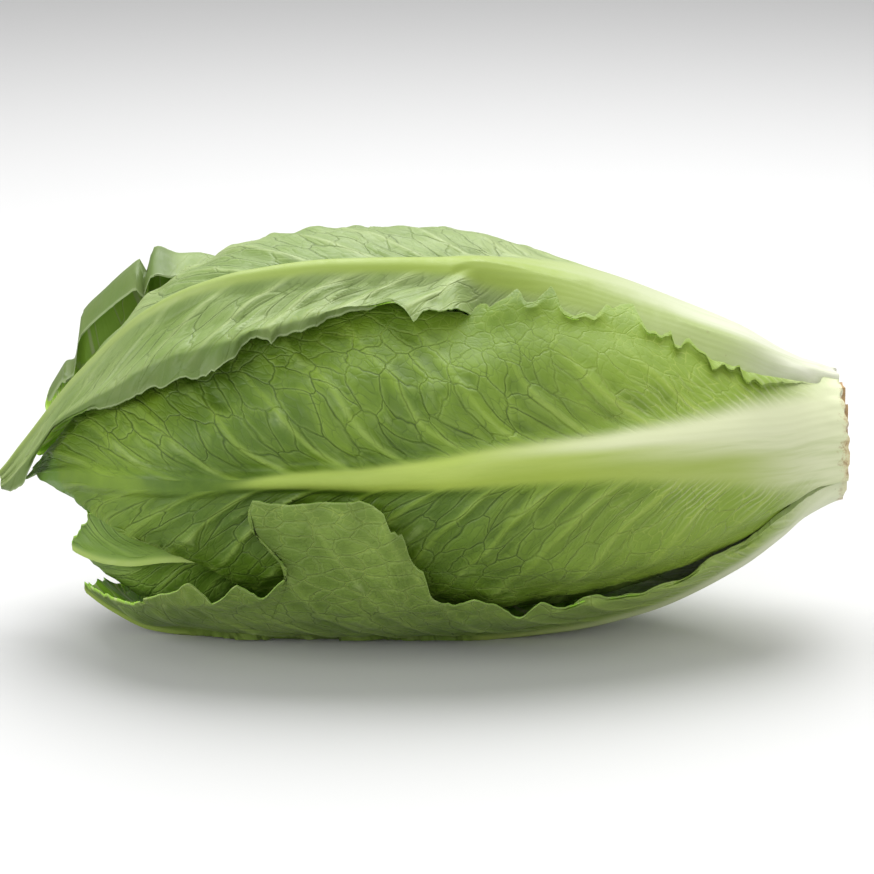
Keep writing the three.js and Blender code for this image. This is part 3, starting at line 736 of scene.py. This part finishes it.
bottom, front, above = LEAVES[:3]
bottom.shape(np.zeros((NX, NA)))
lay_down(bottom, depth)
over_front = depth.copy()
above.shape(spread(depth))
above.out = np.clip(above.out, 0, 2.6)
above.inn = above.out + 1.5
lay_down(above, over_front, lambda x: x < 11)
front.shape(spread(over_front))
over_above = depth.copy()
lay_down(front, over_above, lambda x: x > 22)
front_skin = np.full((NX, NA), -12.0)
cover(front_skin, front.x, front.a, -front.out)
above.shape(spread(over_above), -spread(front_skin))
lay_down(front, depth)
lay_down(above, depth)
for leaf in LEAVES[3:]:
    leaf.shape(spread(depth))
    lay_down(leaf, depth)


# ------------------------------------------------------------------ leaf finishes
class Finish(Nodes):
    """A material under one name."""

    def __init__(self, name):
        self.mat = bpy.data.materials.new(name)
        self.mat.use_nodes = True
        super().__init__(self.mat.node_tree)
        self.shader = self.tree.nodes["Principled BSDF"]

    def mark(self, name, vector=False):
        n = self.tree.nodes.new("ShaderNodeAttribute")
        n.attribute_name = name
        return n.outputs["Vector" if vector else "Fac"]

    def band(self, value, low, high, out_low=0.0, out_high=1.0):
        n = self.tree.nodes.new("ShaderNodeMapRange")
        n.interpolation_type = "SMOOTHSTEP"
        for key, v in (("Value", value), ("From Min", low), ("From Max", high), ("To Min", out_low),
                       ("To Max", out_high)):
            self.put(n.inputs[key], v)
        return n.outputs["Result"]

    def blend(self, share, a, b):
        n = self.tree.nodes.new("ShaderNodeMix")
        n.data_type = "RGBA"
        for k, v in ((0, share), (6, a), (7, b)):
            self.put(n.inputs[k], v)
        return n.outputs[2]

    def clouds(self, where, scale, detail=2.0, rough=0.5):
        n = self.node("ShaderNodeTexNoise", Vector=where, Scale=scale, Detail=detail, Roughness=rough)
        return n.outputs["Fac"]

    def finish(self, colour, rough, height, strength, depth_mm, level=0.36):
        bump = self.node("ShaderNodeBump", Height=height, Strength=strength, Distance=depth_mm * MM)
        for key, value in (("Base Color", colour), ("Roughness", rough), ("Normal", bump.outputs[0]),
                           ("Specular IOR Level", level)):
            self.put(self.shader.inputs[key], value)
        return self.mat


def srgb(r, g, b):
    return tuple(((c / 255 + 0.055) / 1.055) ** 2.4 if c > 10 else c / 255 / 12.92 for c in (r, g, b))


def darker(tint, share):
    return tuple(c * share for c in tint)


def filtered(tint, red, green, blue):
    """A colour with less of each of its three parts."""
    return tint[0] * red, tint[1] * green, tint[2] * blue


def leaf_finish(name, blade, deep, tender, rib, base, sheen, lime, crest_highlight_share=0.85):
    """Green blade with a net of veins, pale rib, near-white foot."""
    m = Finish(name)
    veins, grain = m.mark("veins", True), m.mark("grain", True)
    rib_mark, along, rim, inside, across, high, turned, quiet, dark = (
        m.mark(k) for k in ("rib", "along", "rim", "inside", "across", "high", "turned", "quiet", "dark"))
    spot = m.node("ShaderNodeTexCoord").outputs["Object"]
    vein, cell, small, shade = m.vein_net(veins, grain)
    away = m.maths("ABSOLUTE", across)
    # the nets of the two halves meet on the midrib, where nothing of them shows
    on_middle = m.band(away, 2.2, 0.7, 0.0, 4.0)
    vein, cell, small = (m.add(k, on_middle) for k in (vein, cell, small))
    shade = m.times(shade, m.band(away, 0.7, 2.2))
    cloud, mottle = m.clouds(spot, 24.0, 3.0, 0.55), m.clouds(spot, 210.0, 3.0, 0.6)
    patch = m.clouds(spot, 75.0, 2.0, 0.5)
    outward = m.band(along, 0.18, 0.5)                        # 0 near the foot, 1 over the blade
    # blade: tender near the foot, deeper green where painted shade falls on the half below the rib and in
    # the hollows, greyer with a painted sheen on the swellings
    inward = m.band(cell, 0.3, 2.6)
    green = m.blend(m.band(cloud, 0.36, 0.66), blade, deep)
    green = m.blend(m.times(m.band(shade, 0.45, 0.9, 0.0, 0.6), inward), green, deep)
    # painted shade: the blade's half below the rib (across < 0, the lower half on the leaves facing the
    # front) is darker
    green = m.blend(m.times(m.band(across, -4.0, -40.0, 0.0, 0.55), m.band(along, 0.1, 0.3)), green, deep)
    green = m.blend(m.times(m.band(along, 0.58, 0.15), 0.8), green, tender)
    green = m.blend(m.band(mottle, 0.3, 0.8, 0.0, 0.15), green, tender)
    # painted sheen on the swellings and painted shade in the hollows, both read from the relief height
    green = m.blend(m.band(high, 0.25, 1.3, 0.0, 0.5), green, sheen)
    green = m.blend(m.band(high, 0.1, -0.6, 0.0, 0.6), green, darker(deep, 0.85))
    # veins: soft pale ridges, and fine lines on the cell edges, pale near the foot and margins; over the
    # blade the lines are darkened with painted shade in the creases, with a faint painted sheen beside them
    # share of the lines darkened with painted shade in the creases: over the blade, away from the foot and
    # margins
    dark_part = m.times(m.band(along, 0.2, 0.42), m.band(rim, 5.0, 16.0, 0.35, 1.0))
    off_rib = m.times(m.band(away, 2.0, 12.0), m.maths("SUBTRACT", 1.0, m.times(quiet, 0.75)))
    line = m.times(m.band(cell, 0.24, 0.06), m.band(patch, 0.38, 0.56, 0.35, 1.0))
    far = m.band(away, 46.0, 62.0)
    line_share = m.times(m.times(line, off_rib), m.band(dark_part, 0.0, 1.0, 0.4, 0.85))
    green = m.blend(m.times(line_share, m.band(far, 0.0, 1.0, 1.0, 0.45)), green,
                    m.blend(m.times(dark_part, m.maths("SUBTRACT", 1.0, far)), rib, darker(deep, 0.5)))
    # halo: a faint painted sheen beside the crease lines
    halo = m.times(m.band(cell, 1.2, 0.5), m.band(cell, 0.22, 0.5, 0.0, 0.13))
    green = m.blend(m.times(halo, off_rib), green, sheen)
    green = m.blend(m.times(m.band(small, 0.2, 0.06), m.band(mottle, 0.4, 0.6, 0.05, 0.45)), green,
                    m.blend(dark_part, rib, darker(deep, 0.65)))
    ridge = m.times(m.band(vein, 1.5, 0.2), m.band(away, 48.0, 6.0, 0.16, 0.4))
    ridge = m.times(ridge, m.band(along, 0.86, 0.7, 0.45, 1.0))
    green = m.blend(m.times(ridge, m.maths("SUBTRACT", 1.0, m.times(quiet, 0.4))), green,
                    m.blend(outward, rib, tender))
    # thin close veins that run off the foot
    P = m.add(m.times(m.split(veins)[0], CELL), m.add(m.times(cloud, 16.0), m.times(patch, 7.0)))
    fine_off = m.maths("PINGPONG", P, 1.6)
    near_foot = m.times(m.band(along, 0.34, 0.16), m.band(away, 34.0, 14.0, 0.0, 0.3))
    foot_line = m.times(m.band(fine_off, 0.8, 0.1), near_foot)
    foot_line = m.times(foot_line, m.band(patch, 0.36, 0.62, 0.15, 1.0))
    green = m.blend(foot_line, green, base)
    # rib: white at the foot, greener outwards, with fine lines along it, a yellower lower side and a
    # painted highlight along its upper crest
    streak = m.clouds(m.join(m.times(across, 0.4), m.times(along, 9.0)), 1.0, 3.0, 0.55)
    rib_tint = m.blend(m.band(along, 0.07, 0.38), base, rib)
    rib_tint = m.blend(m.band(along, 0.42, 0.95, 0.0, 0.6), rib_tint, blade)
    rib_tint = m.blend(m.band(streak, 0.42, 0.72, 0.0, 0.25), rib_tint, tender)
    lower = m.times(m.band(across, 1.0, -5.0, 0.0, 0.75), m.band(along, 0.03, 0.16))
    rib_tint = m.blend(m.times(lower, m.band(along, 0.75, 0.5)), rib_tint, lime)
    # painted highlight: a near-white band along the rib's upper crest
    crest_highlight = m.times(m.band(across, 1.0, 4.5), m.band(along, 0.50, 0.26, 0.0, crest_highlight_share))
    rib_tint = m.blend(crest_highlight, rib_tint, base)
    foot = m.band(m.add(along, m.times(away, 0.004)), 0.20, 0.07)
    all_rib = m.maths("MAXIMUM", m.band(rib_mark, 0.15, 0.7), foot)
    tint = m.blend(all_rib, green, rib_tint)
    # inner face: brighter green with thin pale veins; much of the brightness is painted light, standing for
    # light shining through the thin leaf into its shaded folds
    pale_net = m.maths("MAXIMUM", m.band(vein, 0.9, 0.3, 0.0, 0.9), m.band(cell, 0.4, 0.1, 0.0, 0.6))
    inner_green_and_painted_light = m.blend(m.band(cloud, 0.3, 0.7), srgb(182, 226, 86), srgb(148, 200, 58))
    inner_green_and_painted_light = m.blend(pale_net, inner_green_and_painted_light, srgb(206, 224, 150))
    tint = m.blend(m.times(inside, m.band(along, 0.15, 0.4)), tint, inner_green_and_painted_light)
    # painted shade: a deep green band over the leaf's tip, standing for the shaded leaf tip lying beneath
    # it
    tint = m.blend(m.times(dark, 0.85), tint, srgb(78, 112, 22))
    # the rolled strip, darkened with painted shade, and the thin pale line of the margin
    strip_shade_tint = m.blend(m.band(patch, 0.3, 0.7), filtered(blade, 0.35, 0.41, 0.225),
                         filtered(deep, 0.42, 0.5, 0.26))
    tint = m.blend(m.times(turned, 0.8), tint, strip_shade_tint)
    tint = m.blend(m.band(rim, 0.7, 0.1, 0.0, 0.4), tint, sheen)
    # the cut, dried and browned, and specks near it
    x = m.split(spot)[0]
    fleck = m.clouds(spot, 380.0, 4.0, 0.7)
    near_cut = m.band(m.add(x, m.times(m.maths("SUBTRACT", fleck, 0.5), 0.012)), 0.1415, 0.1446)
    cut_tint = m.blend(m.band(fleck, 0.46, 0.68), srgb(202, 186, 144), srgb(140, 108, 66))
    tint = m.blend(m.times(near_cut, m.band(patch, 0.35, 0.6, 0.25, 0.9)), tint, cut_tint)
    speck = m.times(m.band(m.clouds(spot, 240.0, 2.0, 0.4), 0.74, 0.77), m.band(along, 0.25, 0.02))
    tint = m.blend(m.times(speck, 0.6), tint, srgb(120, 96, 62))
    # fine relief
    blade_share = m.maths("SUBTRACT", 1.0, all_rib)
    height = m.add(m.times(m.band(small, 0.0, 0.6), 0.07), m.times(m.band(cell, 0.0, 0.6), 0.2))
    height = m.times(height, m.band(away, 3.0, 10.0, 0.2, 1.0))
    height = m.add(height, m.times(m.band(vein, 1.8, 0.2), m.band(away, 45.0, 5.0, 0.05, 0.2)))
    height = m.times(height, m.maths("SUBTRACT", 1.0, m.times(quiet, 0.7)))
    height = m.add(height, m.times(mottle, 0.10))
    height = m.times(height, m.times(blade_share, m.maths("SUBTRACT", 1.0, m.times(turned, 0.6))))
    height = m.add(height, m.times(streak, m.times(all_rib, 0.05)))
    return m.finish(tint, m.band(mottle, 0.25, 0.8, 0.44, 0.62), height, 1.0, 1.0)


OUTER = leaf_finish("outer_leaf_green", srgb(100, 127, 28), srgb(68, 96, 12), srgb(132, 158, 54),
                    srgb(162, 180, 84), srgb(208, 213, 174), srgb(142, 163, 90), srgb(148, 168, 58))
# the upper leaves are paler and greyer: a painted sheen, as from the light above, over their own green
UPPER_SHEEN = leaf_finish("upper_leaf_green_painted_sheen", srgb(140, 157, 100), srgb(112, 135, 68), srgb(152, 168, 106),
                    srgb(140, 160, 66), srgb(206, 208, 188), srgb(158, 172, 132), srgb(132, 152, 62), 0.2)
LOWER = leaf_finish("lower_leaf_green", srgb(116, 140, 56), srgb(88, 113, 34), srgb(142, 164, 80),
                    srgb(160, 178, 84), srgb(208, 213, 180), srgb(150, 167, 106), srgb(146, 166, 66), 0.4)
MIDDLE = leaf_finish("middle_leaf_green", srgb(114, 143, 50), srgb(82, 114, 28), srgb(150, 176, 84),
                     srgb(172, 188, 102), srgb(212, 217, 184), srgb(156, 176, 112), srgb(166, 184, 90))
INNER = leaf_finish("inner_leaf_yellow", srgb(166, 188, 92), srgb(140, 168, 68), srgb(196, 208, 126),
                    srgb(204, 212, 144), srgb(222, 226, 200), srgb(200, 212, 152), srgb(198, 208, 126))


def flesh_finish():
    """The stem: pale crisp flesh, ringed and browned where it is cut."""
    m = Finish("pale_stem_flesh")
    spot = m.node("ShaderNodeTexCoord").outputs["Object"]
    moved = m.node("ShaderNodeMapping", Vector=spot, Location=(0, -SHIFT[1] * MM, -0.068)).outputs[0]
    x, y, z = m.split(moved)
    r = m.length(y, z)
    grain = m.clouds(spot, 300.0, 4.0, 0.65)
    patch = m.clouds(spot, 90.0, 3.0, 0.55)
    ring = m.maths("SINE", m.add(m.times(r, 3600.0), m.times(patch, 9.0)))
    pale = m.blend(m.band(patch, 0.35, 0.7), srgb(220, 212, 178), srgb(200, 182, 138))
    cut = m.blend(m.band(ring, -0.2, 1.0, 0.0, 0.35), pale, srgb(176, 146, 98))
    cut = m.blend(m.band(r, 0.0115, 0.0142, 0.0, 0.75), cut, srgb(160, 120, 72))
    cut = m.blend(m.band(grain, 0.62, 0.8, 0.0, 0.6), cut, srgb(126, 88, 50))
    tint = m.blend(m.band(x, 0.141, 0.143), srgb(214, 219, 190), cut)
    return m.finish(tint, m.band(grain, 0.3, 0.7, 0.5, 0.72), m.add(grain, m.times(ring, 0.2)), 0.5, 0.6)


FLESH = flesh_finish()


def dress(piece, node, material):
    piece.data.materials.clear()
    piece.data.materials.append(material)
    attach(piece, "root")
    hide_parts(node)


for leaf in LEAVES:
    piece = leaf.build()
    number = leaf.seed
    finish = {1: OUTER, 2: UPPER_SHEEN, 3: LOWER, 4: UPPER_SHEEN, 5: OUTER}.get(number, INNER if leaf.inner else MIDDLE)
    dress(piece, leaf.name, finish)
    piece.name = f"leaf_{number:02d}_skin"


# ------------------------------------------------------------------ stem
STEM = [
    (BUTT, 18.6), (139.6, 17.0), (138.2, 10.5), (131, 7.0), (126, 6.4), (120, 5.4), (114, 4.4),
    (106, 2.8)]
stem_r = curve(STEM, 1)
RINGS = 7


def build_stem():
    bpy.ops.mesh.primitive_cylinder_add(vertices=180, radius=1, depth=2, end_fill_type="NGON")
    o = bpy.context.object
    o.name = o.data.name = "stem_flesh"
    edit_all(face_outwards, *[slice_at(-1 + k / 12) for k in range(1, 24)])
    # rings of the cut face
    for _ in range(RINGS):
        bpy.ops.object.mode_set(mode="EDIT")
        bpy.ops.mesh.select_mode(type="FACE")
        bpy.ops.mesh.select_all(action="DESELECT")
        bpy.ops.object.mode_set(mode="OBJECT")
        for f in o.data.polygons:
            f.select = abs(f.center.z - 1) < 1e-4 and len(f.vertices) > 8
        bpy.ops.object.mode_set(mode="EDIT")
        bpy.ops.mesh.inset(thickness=0.12, depth=0)
        bpy.ops.object.mode_set(mode="OBJECT")
    co = points_of(o)
    x = mix(STEM[-1][0], BUTT, (co[:, 2] + 1) / 2)
    a = np.arctan2(co[:, 1], -co[:, 0])
    share = np.hypot(co[:, 0], co[:, 1])
    room = spread(depth)
    taken = np.maximum.reduce([read(depth, x, a + t) for t in (-0.06, 0.0, 0.06)])
    free = radius(x) - np.maximum(taken, read(room, x, a) * smooth(140, 137, x)) + 0.4
    r = np.maximum(1.5, np.minimum(stem_r(x), free)) * share
    cut_face = co[:, 2] > 0.999
    lip = cut_face * (0.12 * np.sin(a * 9 + share * 20) - 0.35 * smooth(0.75, 0.0, share))
    at = np.stack([x + lip - 0.1, -r * np.cos(a), mid_z(x) + r * np.sin(a)], -1)
    set_points(o, at)
    o.data.update()
    edit_all(face_outwards)
    bpy.ops.object.shade_smooth_by_angle(angle=math.radians(40))
    o.select_set(False)
    dress(o, "stem", FLESH)


build_stem()

# ------------------------------------------------------------------ heart: closed bud and its small leaves
HEART = [
    (84, 0.25), (74, 0.6), (58, 0.85), (30, 0.97), (0, 1), (-30, 0.94), (-56, 0.76), (-74, 0.5),
    (-84, 0.22)]


def build_heart():
    share = curve(HEART, 1)
    room = spread(depth)
    parts = []
    for n, mid, xt in ((19, 20, -96), (20, 150, -98), (21, 265, -95)):
        bud = Leaf(f"bud_{n}", common(mid, mid, 30, xt, 74), count(60), count(26), n, (16, 16), (2, 2),
                   ruffle=1.6, waves=3, pucker=0.5, inner=True, rib_scale=0.5)
        bud.shape(spread(depth))
        lay_down(bud, depth)
        parts.append(bud.build())
    w, h = 120, 100
    bpy.ops.mesh.primitive_cylinder_add(vertices=w, radius=1, depth=2, end_fill_type="TRIFAN")
    core = bpy.context.object
    edit_all(*[slice_at(-1 + 2 * k / h) for k in range(1, h)])
    co = points_of(core)
    x = mix(HEART[-1][0], HEART[0][0], (co[:, 2] + 1) / 2)
    a = np.arctan2(co[:, 1], -co[:, 0])
    out = np.hypot(co[:, 0], co[:, 1])
    d = np.minimum(read(room, x, a) + 1.2, radius(x) - 3)
    r = (radius(x) - d) * share(x)
    turn = (a / (2 * math.pi)) * 5 + x * 0.008 + 10
    fold = 1 - 0.07 * (turn % 1) - 0.01 * np.sin(x * 0.5 + a * 3)
    at = place(x, a, radius(x) - r * fold * out)
    set_points(core, at)
    side = (turn % 1 - 0.5) * 50
    for name, value in zip(("veins", "grain"), vein_place(100 - x, side, 22)):
        write_mark(core, name, value)
    marks = {"rib": np.exp(-(side / 6) ** 2), "along": (84 - x) / 190, "rim": 25 - np.abs(side),
             "across": side}
    marks.update((name, 0 * x) for name in ("inside", "high", "turned", "quiet", "dark"))
    for name, value in marks.items():
        write_mark(core, name, value)
    edit_all(face_outwards)
    bpy.ops.object.shade_smooth_by_angle(angle=math.radians(50))
    for part in parts:
        part.select_set(True)
    core.select_set(True)
    bpy.context.view_layer.objects.active = core
    bpy.ops.object.join()
    core.name = core.data.name = "heart_leaves"
    core.select_set(False)
    dress(core, "heart", INNER)


build_heart()

# ------------------------------------------------------------------ floor, light and camera
bpy.ops.mesh.primitive_plane_add(size=6, location=(0, 0, 0))
floor = bpy.context.object
floor.name = "pale_floor"
floor.select_set(False)
ground = Finish("plain_pale_floor")
for key, value in (("Base Color", (0.60, 0.60, 0.60)), ("Roughness", 0.6), ("Specular IOR Level", 0.2)):
    ground.put(ground.shader.inputs[key], value)
floor.data.materials.append(ground.mat)

world = bpy.data.worlds.new("pale_room")
bpy.context.scene.world = world
world.use_nodes = True
world.node_tree.nodes["Background"].inputs["Color"].default_value = (1, 1, 1, 1)
world.node_tree.nodes["Background"].inputs["Strength"].default_value = 0.5


def lamp(name, at, aim, power, size):
    light = bpy.data.lights.new(name, "AREA")
    light.energy, light.size, light.shape = power, size, "DISK"
    o = bpy.data.objects.new(name, light)
    bpy.context.collection.objects.link(o)
    o.location = at
    o.rotation_euler = (Vector(aim) - Vector(at)).to_track_quat("-Z", "Y").to_euler()


lamp("soft_top", (0.1, 0.45, 1.1), (0, 0, 0.05), 22.0, 1.3)
lamp("soft_front", (0.2, -1.4, 0.6), (0, 0, 0.07), 6.0, 0.9)
lamp("soft_left", (-1.0, -0.6, 0.5), (0, 0, 0.07), 7.0, 0.7)
bpy.context.scene.view_settings.view_transform = "Standard"

camera = bpy.data.cameras.new("camera")
camera_object = bpy.data.objects.new("camera", camera)
bpy.context.collection.objects.link(camera_object)
bpy.context.scene.camera = camera_object
FAR, RISE, FRAME_WIDTH = 1.4, 15 * DEG, 0.2993
aim = Vector((0.0056, 0.0, 0.0688))
camera_object.location = aim + Vector((0, -math.cos(RISE), math.sin(RISE))) * FAR
ahead = Vector((0, math.cos(RISE), -math.sin(RISE)))
camera_object.rotation_euler = ahead.to_track_quat("-Z", "Y").to_euler()
camera.sensor_width = 36
camera.lens = camera.sensor_width * FAR / FRAME_WIDTH
camera.clip_start, camera.clip_end = 0.05, 20
